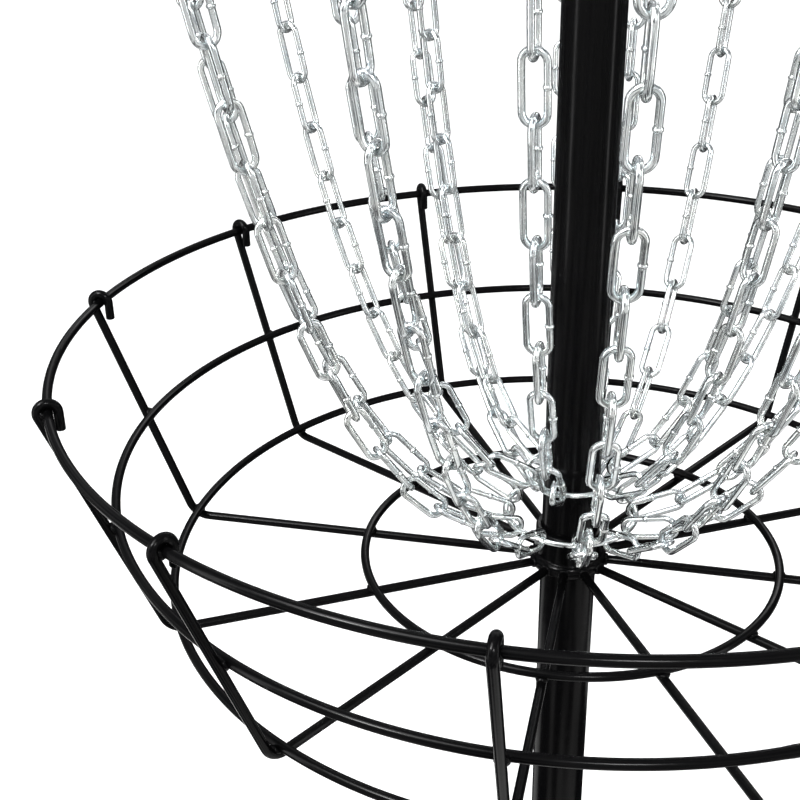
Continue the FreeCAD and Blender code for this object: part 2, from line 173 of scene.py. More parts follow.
def joined(parts):
    """One (points, faces) from several; faces is a list of index arrays, one per face size."""
    points = np.concatenate([p for p, _ in parts])
    groups = {}
    start = 0
    for part_points, part_faces in parts:
        for faces in part_faces:
            groups.setdefault(faces.shape[1], []).append(faces + start)
        start += len(part_points)
    return points, [np.concatenate(groups[size]) for size in sorted(groups)]


def piece(name, shape, material, body):
    """Smooth mesh object made of (points, faces), riding on a CAD body."""
    points, faces = shape
    sizes = np.concatenate([np.full(len(f), f.shape[1]) for f in faces])
    corners = np.concatenate([f.ravel() for f in faces])
    mesh = bpy.data.meshes.new(name)
    mesh.vertices.add(len(points))
    mesh.vertices.foreach_set("co", np.asarray(points, np.float32).ravel())
    mesh.loops.add(len(corners))
    mesh.loops.foreach_set("vertex_index", corners.astype(np.int32))
    mesh.polygons.add(len(sizes))
    mesh.polygons.foreach_set("loop_start", np.concatenate([[0], np.cumsum(sizes)[:-1]]).astype(np.int32))
    mesh.update(calc_edges=True)
    mesh.shade_smooth()
    mesh.materials.append(material)
    made = bpy.data.objects.new(name, mesh)
    bpy.context.scene.collection.objects.link(made)
    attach(made, body)
    return made


def grid_faces(rows, around, closed):
    """Faces of rows of points, each row a closed loop; the rows join in a ring or end in two flat caps."""
    row = np.arange(rows if closed else rows - 1)[:, None] * around
    a = row + np.arange(around)
    b = row + (np.arange(around) + 1) % around
    last = rows * around
    faces = [np.stack([a, b, (b + around) % last, (a + around) % last], -1).reshape(-1, 4)]
    if not closed:
        faces.append(np.arange(around)[::-1][None])
        faces.append((np.arange(around) + last - around)[None])
    return faces


def sweep(path, radii, axis, around, closed=True):
    """Round wire along a path of points. axis is a direction that the path never runs along."""
    path = np.asarray(path, float)
    if closed:
        along = np.roll(path, -1, 0) - np.roll(path, 1, 0)
    else:
        along = np.gradient(path, axis=0)
    along = unit(along)
    side = unit(np.cross(along, np.asarray(axis, float)))
    rise = np.cross(along, side)
    turn = np.linspace(0.0, 2.0 * math.pi, around, endpoint=False)
    spread = np.cos(turn)[:, None] * side[:, None] + np.sin(turn)[:, None] * rise[:, None]
    points = path[:, None] + np.broadcast_to(radii, (len(path),))[:, None, None] * spread
    return points.reshape(-1, 3), grid_faces(len(path), around, closed)


def rounded_ends(path, radius, depth, steps=5):
    """Path and radii of an open wire whose two ends are rounded off over a depth."""
    path = np.asarray(path, float)
    first = unit(path[0] - path[1])
    last = unit(path[-1] - path[-2])
    turns = np.linspace(0.15, 0.5 * math.pi, steps)
    before = [path[0] - first * depth * (1.0 - math.cos(t)) for t in turns]
    after = [path[-1] - last * depth * (1.0 - math.cos(t)) for t in turns[::-1]]
    taper = [radius * math.sin(t) for t in turns]
    return (np.array(before + list(path[1:-1]) + after),
            np.array(taper + [radius] * (len(path) - 2) + taper[::-1]))


def softened(corners, closed=False):
    """Outline through (u, v, rounding) corners, each cut back by its rounding and curved."""
    rows = np.array(corners, float)
    outline = []
    for k, (u, v, rounding) in enumerate(rows):
        corner = np.array((u, v))
        if rounding == 0.0 or (not closed and k in (0, len(rows) - 1)):
            outline.append(corner)
            continue
        before = corner + rounding * unit(rows[k - 1, :2] - corner)
        after = corner + rounding * unit(rows[(k + 1) % len(rows), :2] - corner)
        for t in np.linspace(0.0, 1.0, 7):
            outline.append((1 - t) ** 2 * before + 2 * t * (1 - t) * corner + t ** 2 * after)
    return np.array(outline)


def stacked(outline, levels, closed=False):
    """Solid along Z from a flat outline, set in by inset at each (z, inset) level."""
    size = np.linalg.norm(outline, axis=1, keepdims=True)
    rows = [np.c_[outline * (1.0 - inset / size), np.full(len(outline), z)] for z, inset in levels]
    return np.concatenate(rows), grid_faces(len(rows), len(outline), closed)


def lathed(corners, closed, around=96):
    """Solid of revolution about Z from (radius, z, rounding) corners, up its outside first."""
    profile = softened(corners, closed)
    radius = profile[:, 0].max()
    turn = np.linspace(0.0, 2.0 * math.pi, around, endpoint=False)
    circle = radius * np.stack([np.cos(turn), np.sin(turn)], -1)
    return stacked(circle, [(z, radius - r) for r, z in profile], closed)


def blob(centre, axes, sizes, around=14, rows=8, rough=0.05):
    """Closed rounded lump with half-sizes along three unit axes."""
    axes = np.array([list(a) for a in axes], float)
    turn = np.linspace(0.0, 2.0 * math.pi, around, endpoint=False)
    tilt = np.linspace(0.0, math.pi, rows + 1)[1:-1]
    across = np.sin(tilt)[:, None]
    ball = np.stack(np.broadcast_arrays(
        across * np.cos(turn), across * np.sin(turn), np.cos(tilt)[:, None]), -1)
    ball = np.concatenate([[[0.0, 0.0, 1.0]], ball.reshape(-1, 3), [[0.0, 0.0, -1.0]]])
    phase = RNG.uniform(0.0, 2.0 * math.pi)
    ball *= (1.0 + rough * np.sin(5.0 * ball[:, :1] + 4.0 * ball[:, 2:] + phase))
    points = np.array(list(centre)) + (ball * np.array(sizes)) @ axes
    body = 1 + np.arange(rows - 2)[:, None] * around
    a = body + np.arange(around)
    b = body + (np.arange(around) + 1) % around
    quads = np.stack([a, a + around, b + around, b], -1).reshape(-1, 4)
    low = 1 + (rows - 2) * around
    spin = np.arange(around)
    last = len(points) - 1
    top = np.stack([np.zeros(around, int), 1 + spin, 1 + (spin + 1) % around], -1)
    bottom = np.stack([np.full(around, last), low + (spin + 1) % around, low + spin], -1)
    return points, [quads, top, bottom]


def polar(radius, azimuth, z):
    return Vector((radius * math.cos(azimuth), radius * math.sin(azimuth), z))


def middle(node):
    low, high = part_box(node)
    return 0.5 * (low + high)


def azimuth_of(node):
    centre = middle(node)
    return math.atan2(centre.y, centre.x)


def ring_circle(node):
    """Radius, height and wire radius of a ring node."""
    low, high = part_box(node)
    wire_r = 0.5 * (high.z - low.z)
    return 0.5 * (high.x - low.x) - wire_r, 0.5 * (low.z + high.z), wire_r


def corners_of(node):
    """A CAD node's mesh vertices."""
    mesh = NODES[node].data
    points = np.empty(len(mesh.vertices) * 3, np.float32)
    mesh.vertices.foreach_get("co", points)
    return points.reshape(-1, 3)


# ---------------------------------------------------------------- materials

def shader(name):
    """New material with its node tree and Principled node."""
    material = bpy.data.materials.new(name)
    material.use_nodes = True
    tree = material.node_tree
    return material, tree, tree.nodes["Principled BSDF"]


def added(tree, kind, inputs=(), **settings):
    """New node with its settings and inputs; an input is a value or another node's output."""
    made = tree.nodes.new(kind)
    for key, value in settings.items():
        setattr(made, key, value)
    for key, value in dict(inputs).items():
        if isinstance(value, bpy.types.NodeSocket):
            tree.links.new(value, made.inputs[key])
        else:
            made.inputs[key].default_value = value
    return made


def noise(tree, scale, detail=2.0):
    """Noise in the object's own coordinates, with scale cells to a metre."""
    place = added(tree, "ShaderNodeTexCoord").outputs["Object"]
    made = added(tree, "ShaderNodeTexNoise", {"Vector": place, "Scale": scale, "Detail": detail})
    return made.outputs["Fac"]


def ranged(tree, value, low, high, start=0.3, stop=0.7):
    """A value's stretch from start to stop, spread over low to high."""
    made = added(tree, "ShaderNodeMapRange", {
        "Value": value, "From Min": start, "From Max": stop, "To Min": low, "To Max": high})
    return made.outputs[0]


def tinted(tree, factor, first, second):
    """Colour between two, each a triple or another node's output."""
    made = added(tree, "ShaderNodeMix", {"Factor": factor}, data_type="RGBA")
    for socket, colour in (("A", first), ("B", second)):
        if isinstance(colour, bpy.types.NodeSocket):
            tree.links.new(colour, made.inputs[socket])
        else:
            made.inputs[socket].default_value = (*colour, 1.0)
    return made.outputs["Result"]


def bumped(tree, shine, layers):
    """Bump layers of (height, distance, strength) stacked on a shader's normal."""
    normal = None
    for height, distance, strength in layers:
        inputs = {"Height": height, "Distance": distance, "Strength": strength}
        if normal is not None:
            inputs["Normal"] = normal
        normal = added(tree, "ShaderNodeBump", inputs).outputs[0]
    tree.links.new(normal, shine.inputs["Normal"])


def powder_coat(name, base, low_rough, high_rough, peel):
    """Baked satin black paint: orange peel, fine grain and slightly uneven sheen."""
    material, tree, shine = shader(name)
    lighter = tuple(1.7 * c for c in base)
    tree.links.new(tinted(tree, noise(tree, 22.0, 4.0), base, lighter), shine.inputs["Base Color"])
    tree.links.new(ranged(tree, noise(tree, 140.0, 3.0), low_rough, high_rough), shine.inputs["Roughness"])
    shine.inputs["Specular IOR Level"].default_value = 0.07
    bumped(tree, shine, [(noise(tree, 420.0), 0.00008, peel), (noise(tree, 1900.0), 0.00002, 0.35)])
    return material


def zinc(name, dark, light, low_rough, high_rough):
    """Bright zinc plate: bluish and yellowish clouds, fine grain and small pits."""
    material, tree, shine = shader(name)
    shine.inputs["Metallic"].default_value = 1.0
    clouds = tinted(tree, ranged(tree, noise(tree, 90.0, 3.0), 0.0, 1.0), dark, light)
    warm = added(tree, "ShaderNodeMix", {"Factor": ranged(tree, noise(tree, 35.0), 0.0, 0.5)},
                 data_type="RGBA", blend_type="MULTIPLY")
    tree.links.new(clouds, warm.inputs["A"])
    warm.inputs["B"].default_value = (1.0, 0.97, 0.9, 1.0)
    tree.links.new(warm.outputs["Result"], shine.inputs["Base Color"])
    tree.links.new(ranged(tree, noise(tree, 420.0, 3.0), low_rough, high_rough), shine.inputs["Roughness"])
    bumped(tree, shine, [(noise(tree, 260.0, 3.0), 0.0002, 0.1), (noise(tree, 1500.0), 0.00003, 0.15)])
    return material


def moulded(name, base, low_rough, high_rough, grain):
    """Moulded rubber or plastic with a fine sparked grain."""
    material, tree, shine = shader(name)
    lighter = tuple(1.5 * c for c in base)
    tree.links.new(tinted(tree, noise(tree, 60.0, 3.0), base, lighter), shine.inputs["Base Color"])
    tree.links.new(ranged(tree, noise(tree, 300.0), low_rough, high_rough), shine.inputs["Roughness"])
    bumped(tree, shine, [(noise(tree, 1600.0, 3.0), 0.00006, grain)])
    return material


COAT = powder_coat("black_powder_coat", (0.001, 0.001, 0.0011), 0.14, 0.22, 0.25)
BAND_COAT = powder_coat("band_powder_coat", (0.005, 0.005, 0.0053), 0.28, 0.38, 0.3)
CHAIN_ZINC = zinc("bright_zinc_chain", (0.62, 0.67, 0.695), (0.9, 0.925, 0.93), 0.12, 0.24)
FASTENER_ZINC = zinc("zinc_fastener", (0.62, 0.64, 0.66), (0.8, 0.82, 0.83), 0.2, 0.35)
RUBBER = moulded("black_rubber", (0.016, 0.016, 0.016), 0.7, 0.85, 0.4)
PLASTIC = moulded("black_plastic", (0.014, 0.014, 0.015), 0.36, 0.48, 0.3)
FINISHES = {
    "black_powder_coat": COAT,
    "band_coat": BAND_COAT,
    "zinc_chain": CHAIN_ZINC,
    "zinc_fastener": FASTENER_ZINC,
    "rubber_foot": RUBBER,
    "black_plastic": PLASTIC,
}
for node, slot in SLOT_OF.items():
    NODES[node].data.materials.clear()
    NODES[node].data.materials.append(FINISHES[slot])


# ---------------------------------------------------------------- chains

def link_shape():
    """One welded link about the origin: length along X, width along Y, its weld at +Y."""
    squeeze = RNG.uniform(-LINK_SQUEEZE, LINK_SQUEEZE)
    offset = RNG.uniform(-WELD_OFFSET, WELD_OFFSET)
    bow = LINK_BOW_R
    half = LINK_HALF_STRAIGHT
    near_weld = np.linspace(-2.4, 2.4, 17) * WELD_HALF_WIDTH + offset
    weld_side = np.concatenate([[half, 0.6 * half], near_weld[::-1], [-0.6 * half]])
    plain_side = np.linspace(-half, half, 6)[:-1]
    turns = np.linspace(0.0, math.pi, 17)[:-1]
    path = [(x, bow + squeeze * math.cos(0.5 * math.pi * x / half), 0.0) for x in weld_side]
    path += [(-half - bow * math.sin(t), bow * math.cos(t), 0.0) for t in turns]
    path += [(x, -bow, 0.0) for x in plain_side]
    path += [(half + bow * math.sin(t), -bow * math.cos(t), 0.0) for t in turns[:-1] + turns[1]]
    path = np.array(path)
    from_weld = np.where(path[:, 1] > 0.5 * bow, (path[:, 0] - offset) / WELD_HALF_WIDTH, 9.0)
    ridge = WELD_RISE / (1.0 + from_weld ** 6) * RNG.uniform(0.8, 1.2)
    wave = DRAWN_WAVE * np.sin(path[:, 0] * DRAWN_WAVE_RATE + RNG.uniform(0.0, 6.0))
    return sweep(path, 0.5 * LINK_WIRE + ridge + wave, (0.0, 0.0, 1.0), LINK_SIDES)


def hook_shape():
    """S-hook in the XZ plane, its upper bow about the origin, hanging along -Z."""
    lean = math.asin(2.0 * HOOK_R / HOOK_BOW_DISTANCE)
    upper = np.linspace(HOOK_TIP, math.pi + lean, 30)
    lower = np.linspace(lean, HOOK_FOOT, 30)
    path = [(HOOK_R * math.cos(t), 0.0, HOOK_R * math.sin(t)) for t in upper]
    path += [(HOOK_R * math.cos(t), 0.0, HOOK_R * math.sin(t) - HOOK_BOW_DISTANCE) for t in lower]
    path, radii = rounded_ends(path, 0.5 * LINK_WIRE, 0.5 * LINK_WIRE)
    return sweep(path, radii, (0.0, 1.0, 0.0), LINK_SIDES, closed=False)


def solids_of(node):
    """Centre and principal axes, longest first, of each separate solid in a CAD node, with its points."""
    mesh = NODES[node].data
    corners = np.empty(len(mesh.loops), np.int32)
    mesh.loops.foreach_get("vertex_index", corners)
    points, same = np.unique(corners_of(node).round(6), axis=0, return_inverse=True)
    triangles = same.reshape(-1)[corners].reshape(-1, 3)
    label = np.arange(len(points))
    while True:
        lowest = label[triangles].min(1)
        before = label.copy()
        for k in range(3):
            np.minimum.at(label, triangles[:, k], lowest)
        label = label[label]
        if (label == before).all():
            break
    found = []
    owner = label[triangles[:, 0]]
    for number in np.unique(owner):
        a, b, c = (points[triangles[owner == number, k]].astype(float) for k in range(3))
        area = np.linalg.norm(np.cross(b - a, c - a), axis=1)
        centroids = (a + b + c) / 3.0
        centre = (centroids * area[:, None]).sum(0) / area.sum()
        offset = centroids - centre
        spread = (offset * area[:, None]).T @ offset / area.sum()
        axes = np.linalg.eigh(spread)[1][:, ::-1].T
        found.append((centre, axes, points[label == number] - centre))
    return sorted(found, key=lambda solid: -solid[0][2])


def welded_side(axes, offsets):
    """A link's axes with the width pointing to its welded side, and a right-handed normal."""
    length, width = axes[0], axes[1]
    middle_part = offsets[np.abs(offsets @ length) < CAD_BEAD_REACH] @ width
    if middle_part.max() < -middle_part.min():
        width = -width
    return np.array([length, width, np.cross(length, width)])


def set_at(shape, centre, axes):
    """Shape with its X, Y and Z laid along three axes, then moved to a centre."""
    points, faces = shape
    return points @ axes + centre, faces


def strand_parts(node, ring, links, hook):
    """The fine hook and links that lie where a CAD strand's own solids lie."""
    solids = solids_of(node)
    hook_centre = solids[0][0]
    azimuth = math.atan2(hook_centre[1], hook_centre[0])
    ring_r, ring_z, _ = ring_circle(ring)
    down = unit(hook_centre - np.array(polar(ring_r, azimuth, ring_z)))
    across = np.array([-math.sin(azimuth), math.cos(azimuth), 0.0])
    axes = np.array([np.cross(down, across), across, -down])
    parts = [set_at(hook, hook_centre - down * 0.5 * HOOK_BOW_DISTANCE, axes)]
    for centre, link_axes, offsets in solids[1:]:
        parts.append(set_at(RNG.choice(links), centre, welded_side(link_axes, offsets)))
    return azimuth, parts


def turned(shape, angle):
    """Shape turned about Z."""
    points, faces = shape
    cos, sin = math.cos(angle), math.sin(angle)
    return points @ np.array([[cos, sin, 0.0], [-sin, cos, 0.0], [0.0, 0.0, 1.0]]), faces


LINKS = [link_shape() for _ in range(LINK_SHAPES)]
HOOK = hook_shape()
for tier in ("outer", "inner"):
    strands = sorted(n for n in NODES if n.startswith(tier + "_chain_"))
    first_azimuth, parts = strand_parts(strands[0], tier + "_hanger_ring", LINKS, HOOK)
    for strand in strands:
        turn = azimuth_of(strand) - first_azimuth
        made = piece(strand + "_links", joined([turned(part, turn) for part in parts]),
                     CHAIN_ZINC, strand)
        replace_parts(made, strand)


# ---------------------------------------------------------------- rings and ribs

def stand_in(node, suffix, shape):
    """Fine piece that replaces a CAD node, with its finish and its body."""
    slot = SLOT_OF[node]
    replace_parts(piece(node + suffix, shape, FINISHES[slot], BODY_OF[node]), node)


def wire_ring(node, seam):
    """A ring's wire, bent round and butt-welded at the seam azimuth."""
    radius, z, wire_r = ring_circle(node)
    count = max(RING_LEAST_POINTS, int(radius * 2.0 * math.pi / RING_STEP))
    turn = np.linspace(0.0, 2.0 * math.pi, count, endpoint=False)
    path = np.stack([radius * np.cos(turn), radius * np.sin(turn), np.full(count, z)], -1)
    from_seam = radius * np.abs((turn - seam + math.pi) % (2.0 * math.pi) - math.pi)
    radii = wire_r * (1.0 + SEAM_RISE * np.exp(-(from_seam / (SEAM_WIDTH * wire_r)) ** 2))
    return sweep(path, radii, (0.0, 0.0, 1.0), WIRE_SIDES)


def arc(centre, radius, first, last, steps=14):
    """Points of an arc in the XZ plane, angles from +X towards +Z."""
    return [(centre[0] + radius * math.cos(t), 0.0, centre[1] + radius * math.sin(t))
            for t in np.linspace(first, last, steps)]


def rib_wire(node):
    """Spoke, bend, leaning upright and hook over the rim; drawn at azimuth 0, then turned to its own."""
    rim_r, rim_z, wire_r = ring_circle("rim_ring")
    low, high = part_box(node)
    spoke_z = low.z + wire_r
    around_rim = high.z - wire_r - rim_z
    corner_r = rim_r + around_rim / math.cos(RIB_LEAN) - (rim_z - spoke_z) * math.tan(RIB_LEAN)
    bend_r = corner_r - RIB_BEND_R * math.tan(0.25 * math.pi - 0.5 * RIB_LEAN)
    spoke_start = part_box("basket_hub")[1].x - wire_r
    path = [(r, 0.0, spoke_z) for r in np.linspace(spoke_start, bend_r - 0.001, 6)]
    path += arc((bend_r, spoke_z + RIB_BEND_R), RIB_BEND_R, -0.5 * math.pi, -RIB_LEAN)
    path += arc((rim_r, rim_z), around_rim, -RIB_LEAN, math.pi, 28)
    path.append((rim_r - around_rim, 0.0, rim_z - RIB_HOOK_LEG))
    path, radii = rounded_ends(path, wire_r, RIB_END)
    return turned(sweep(path, radii, (0.0, 1.0, 0.0), WIRE_SIDES, closed=False), azimuth_of(node))


for ring in ("rim_ring", "middle_ring", "floor_ring", "inner_floor_ring", "base_ring",
             "outer_hanger_ring", "inner_hanger_ring", "outer_collector_ring", "inner_collector_ring"):
    stand_in(ring, "_wire", wire_ring(ring, RNG.uniform(0.0, 6.0)))
for rib in RIBS:
    stand_in(rib, "_wire", rib_wire(rib))


# ---------------------------------------------------------------- poles, hubs and socket

def outside_of(node):
    """Radius, lowest and highest point of a round node about the pole's axis."""
    low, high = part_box(node)
    return high.x, low.z, high.z


POLE_R = outside_of("lower_pole")[0]
BORE_R = POLE_R + SLIP_GAP


def lower_pole():
    outer, low, high = outside_of("lower_pole")
    inner = outer - POLE_WALL
    return lathed([
        (inner, low, 0.0003), (outer, low, 0.0003), (outer, high, 0.0004), (inner, high, 0.0004),
    ], True)


def upper_pole():
    """Tube whose reduced lower end stands in the lower pole."""
    outer, low, high = outside_of("upper_pole")
    inner = outer - POLE_WALL
    spigot_inner = SPIGOT_R - POLE_WALL
    shoulder = low + SPIGOT_LENGTH
    return lathed([
        (spigot_inner, low, 0.0003), (SPIGOT_R - 0.001, low, 0.0006), (SPIGOT_R, low + 0.003, 0.001),
        (SPIGOT_R, shoulder, 0.0003), (outer, shoulder, 0.0006), (outer, high, 0.0004),
        (inner, high, 0.0004), (inner, shoulder + 0.008, 0.002), (spigot_inner, shoulder + 0.002, 0.002),
    ], True)


def basket_hub():
    """Collar with a rolled lip that the spokes are welded to."""
    lip, low, high = outside_of("basket_hub")
    lip_top = low + HUB_LIP_HEIGHT
    return lathed([
        (BORE_R, low, 0.0004), (lip, low, 0.0035), (lip, lip_top, 0.0042),
        (HUB_R, lip_top + 0.0005, 0.0015), (HUB_R, high, 0.0014), (BORE_R, high, 0.0006),
    ], True)


def hanger_hub():
    outer, low, high = outside_of("hanger_hub")
    return lathed([
        (BORE_R, low, 0.0005), (outer, low, 0.0016), (outer, high, 0.0016), (BORE_R, high, 0.0005),
    ], True)


def base_socket():
    """Deep cup with a thick floor and a rolled mouth."""
    outer, low, high = outside_of("base_socket")
    floor = low + SOCKET_FLOOR
    return lathed([
        (outer - 0.004, low, 0.0), (outer, low, 0.0016), (outer, high, 0.0012), (BORE_R, high, 0.001),
        (BORE_R, floor, 0.001), (BORE_R - 0.004, floor, 0.0),
    ], False)


def pole_cap():
    """Plug with a domed head."""
    head, low, high = outside_of("pole_cap")
    plug = POLE_R - POLE_WALL - 0.00005
    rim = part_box("upper_pole")[1].z
    return lathed([
        (0.01, low, 0.0), (plug, low, 0.002), (plug, rim, 0.0003), (head, rim, 0.0008),
        (head, 0.5 * (rim + high), 0.003), (0.75 * head, high, 0.008), (0.002, high, 0.0),
    ], False)


stand_in("lower_pole", "_turned", lower_pole())
stand_in("upper_pole", "_turned", upper_pole())
stand_in("pole_cap", "_turned", pole_cap())
stand_in("basket_hub", "_turned", basket_hub())
stand_in("hanger_hub", "_turned", hanger_hub())
stand_in("base_socket", "_turned", base_socket())


# ---------------------------------------------------------------- knob and feet

def circle(radius, around=48):
    turn = np.linspace(0.0, 2.0 * math.pi, around, endpoint=False)
    return radius * np.stack([np.cos(turn), np.sin(turn)], -1)


def clamp_knob():
    """Lobed knob with rounded rims, a neck behind it and a plug in its face."""
    boss = middle("clamp_boss")
    outward = unit(np.array((boss.x, boss.y, 0.0)))
    up = np.array((0.0, 0.0, 1.0))
    reach = corners_of("clamp_knob") @ outward
    back = reach.min() + KNOB_NECK
    face = reach.max()
    tip_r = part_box("clamp_knob")[1].z - boss.z
    turn = np.linspace(0.0, 2.0 * math.pi, 120, endpoint=False)
    radius = tip_r * (1.0 - KNOB_HOLLOW * (1.0 - np.cos(KNOB_LOBES * turn)))
    outline = radius[:, None] * np.stack([np.cos(turn), np.sin(turn)], -1)
    rims = softened([
        (0.5 * tip_r, back, 0.0), (0.0, back, 0.003), (0.0, face - 0.001, 0.004), (0.5 * tip_r, face, 0.0),
    ])
    plug = softened([(0.0, face - 0.003, 0.0), (0.0, face + 0.0006, 0.0008), (0.004, face + 0.0008, 0.0)])
    knob = joined([
        stacked(outline, rims[:, ::-1]),
        stacked(circle(KNOB_NECK_R), [(reach.min(), 0.0), (back + 0.001, 0.0)]),
        stacked(circle(KNOB_PLUG_R), plug[:, ::-1]),
    ])
    return set_at(knob, up * boss.z, np.array([up, np.cross(outward, up), outward]))


def base_feet():
    """Moulded pads with a thin flange, tapering up round the base ring."""
    ring_r, _, _ = ring_circle("base_ring")
    low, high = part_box("base_feet")
    half_width, half_length = FOOT_HALF_SIZE
    outline = softened([
        (half_width, -half_length, 0.005), (half_width, half_length, 0.005),
        (-half_width, half_length, 0.005), (-half_width, -half_length, 0.005),
    ], closed=True)
    sides = softened([
        (0.0006, low.z, 0.0), (0.0, low.z + 0.0008, 0.0004), (0.0, low.z + 0.0026, 0.0006),
        (0.0012, low.z + 0.0034, 0.0006), (0.002, high.z, 0.0012), (0.004, high.z, 0.0),
    ])
    pad = stacked(outline, sides[:, ::-1])
    feet = []
    for centre, _, _ in solids_of("base_feet"):
        azimuth = math.atan2(centre[1], centre[0])
        outward = np.array(list(polar(1.0, azimuth, 0.0)))
        along = np.array(list(polar(1.0, azimuth + 0.5 * math.pi, 0.0)))
        feet.append(set_at(pad, ring_r * outward, np.array([outward, along, (0.0, 0.0, 1.0)])))
    return joined(feet)


stand_in("clamp_knob", "_moulded", clamp_knob())
stand_in("base_feet", "_moulded", base_feet())


# ---------------------------------------------------------------- welds

def spot_weld(radius, azimuth, z, lean, sizes):
    """Squeezed lump where two wires cross; its short axis is tilted by lean from the radius."""
    outward = np.array([math.cos(azimuth), math.sin(azimuth), 0.0])
    around = np.array([-math.sin(azimuth), math.cos(azimuth), 0.0])
    up = np.array([0.0, 0.0, 1.0])
    through = math.cos(lean) * outward + math.sin(lean) * up
    along = math.cos(lean) * up - math.sin(lean) * outward
    return blob(polar(radius, azimuth, z), (around, along, through), sizes)


def crossing(node, azimuth, lean, size):
    """Spot weld on the side of a ring's wire that faces the given lean."""
    radius, z, wire_r = ring_circle(node)
    at_r = radius + wire_r * math.cos(lean)
    at_z = z + wire_r * math.sin(lean)
    return spot_weld(at_r, azimuth, at_z, lean, (size, size, SPOT_DEPTH * size))


def foot_of_bar(start, along, bar_r, clearance, reach, bead_r):
    """Rippled bead where a round bar, followed from start along its axis, meets another part's surface.

    The surface is where clearance falls to 0, looked for up to reach away.
    """
    start = np.array(list(start))
    along = unit(np.array(list(along)))
    side = unit(np.cross(along, (0.0, 0.6, 0.8)))
    count = POINTS_PER_RIPPLE * int(2.0 * math.pi * bar_r / RIPPLE_PITCH)
    turn = np.linspace(0.0, 2.0 * math.pi, count, endpoint=False)[:, None]
    lines = start + bar_r * (np.cos(turn) * side + np.sin(turn) * np.cross(along, side))
    near = np.zeros((count, 1))
    far = np.full((count, 1), reach)
    for _ in range(HALVINGS):
        halfway = 0.5 * (near + far)
        free = clearance(lines + halfway * along)[:, None] > 0.0
        near = np.where(free, halfway, near)
        far = np.where(free, far, halfway)
    ripple = RIPPLE * np.sin(turn[:, 0] * count / POINTS_PER_RIPPLE)
    wander = WANDER * np.sin(WANDER_WAVES * turn[:, 0] + RNG.uniform(0.0, 6.0))
    return sweep(lines + near * along, bead_r * (1.0 + ripple + wander), along, BEAD_SIDES)


def outside_post(radius):
    """Clearance of points from an upright round post at the origin."""
    def clearance(points):
        return np.hypot(points[:, 0], points[:, 1]) - radius
    return clearance


def outside_ring(node):
    """Clearance of points from a ring's wire."""
    radius, z, wire_r = ring_circle(node)

    def clearance(points):
        from_axis = np.hypot(points[:, 0], points[:, 1])
        return np.hypot(from_axis - radius, points[:, 2] - z) - wire_r
    return clearance


def basket_welds():
    """Spots on the basket's rings at every rib, and a bead where each spoke ends on the hub's lip."""
    wire_r = ring_circle("rim_ring")[2]
    lip_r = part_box("basket_hub")[1].x
    spoke_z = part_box(RIBS[0])[0].z + wire_r
    in_bend = -0.25 * math.pi - 0.5 * RIB_LEAN
    parts = []
    for rib in RIBS:
        azimuth = azimuth_of(rib)
        inward = -polar(1.0, azimuth, 0.0)
        parts.append(crossing("middle_ring", azimuth, -RIB_LEAN, RIB_SPOT))
        parts.append(crossing("floor_ring", azimuth, in_bend, RIB_SPOT))
        parts.append(crossing("inner_floor_ring", azimuth, -0.5 * math.pi, RIB_SPOT))
        parts.append(crossing("rim_ring", azimuth, -RIB_LEAN, RIM_SPOT))
        start = polar(lip_r + HUB_MARGIN, azimuth, spoke_z)
        parts.append(foot_of_bar(
            start, inward, wire_r, outside_post(lip_r), 2.0 * HUB_MARGIN, SPOKE_BEAD_R))
    return joined(parts)


def hanger_welds():
    """A bead where each arm ends on the hub, and spots where the arms cross the two rings."""
    arm_low, arm_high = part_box(ARMS[0])
    arm_r = 0.5 * (arm_high.z - arm_low.z)
    arm_z = 0.5 * (arm_high.z + arm_low.z)
    hub_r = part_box("hanger_hub")[1].x
    parts = []
    for arm in ARMS:
        azimuth = azimuth_of(arm)
        inward = -polar(1.0, azimuth, 0.0)
        start = polar(hub_r + HUB_MARGIN, azimuth, arm_z)
        parts.append(foot_of_bar(
            start, inward, arm_r, outside_post(hub_r), 2.0 * HUB_MARGIN, ARM_BEAD_R))
        for node in ("outer_hanger_ring", "inner_hanger_ring"):
            parts.append(crossing(node, azimuth, 0.5 * math.pi, ARM_SPOT))
    return joined(parts)


def base_welds():
    """Beads at both ends of each leg and round the clamp boss."""
    ring_r, ring_z, tube_r = ring_circle("base_ring")
    socket_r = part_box("base_socket")[1].x
    parts = []
    for leg in LEGS:
        azimuth = azimuth_of(leg)
        foot = polar(ring_r, azimuth, ring_z)
        top = Vector((0.0, 0.0, LEG_TOP_Z))
        halfway = 0.5 * (foot + top)
        reach = (foot - halfway).length
        parts.append(foot_of_bar(
            halfway, foot - top, tube_r, outside_ring("base_ring"), reach, LEG_BEAD_R))
        parts.append(foot_of_bar(
            halfway, top - foot, tube_r, outside_post(socket_r), reach, LEG_BEAD_R))
    boss_low, boss_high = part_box("clamp_boss")
    boss = middle("clamp_boss")
    boss_r = 0.5 * (boss_high.z - boss_low.z)
    inward = -Vector((boss.x, boss.y, 0.0))
    parts.append(foot_of_bar(
        boss, inward, boss_r, outside_post(socket_r), BOSS_REACH, BOSS_BEAD_R))
    return joined(parts)


piece("basket_welds", basket_welds(), COAT, "pole_and_basket")
piece("hanger_welds", hanger_welds(), COAT, "chain_hanger")
piece("base_welds", base_welds(), COAT, "base")


# ---------------------------------------------------------------- floor, light, camera

def shaded_behind(tree, pattern, place, strength):
    """Pattern that falls off towards +Y, behind the object as the camera sees it."""
    parts = added(tree, "ShaderNodeSeparateXYZ", {"Vector": place})
    fall = added(tree, "ShaderNodeMath", {0: parts.outputs["Y"], 1: -strength}, operation="MULTIPLY")
    return added(tree, "ShaderNodeMath", {0: pattern, 1: fall.outputs[0]}, operation="ADD").outputs[0]


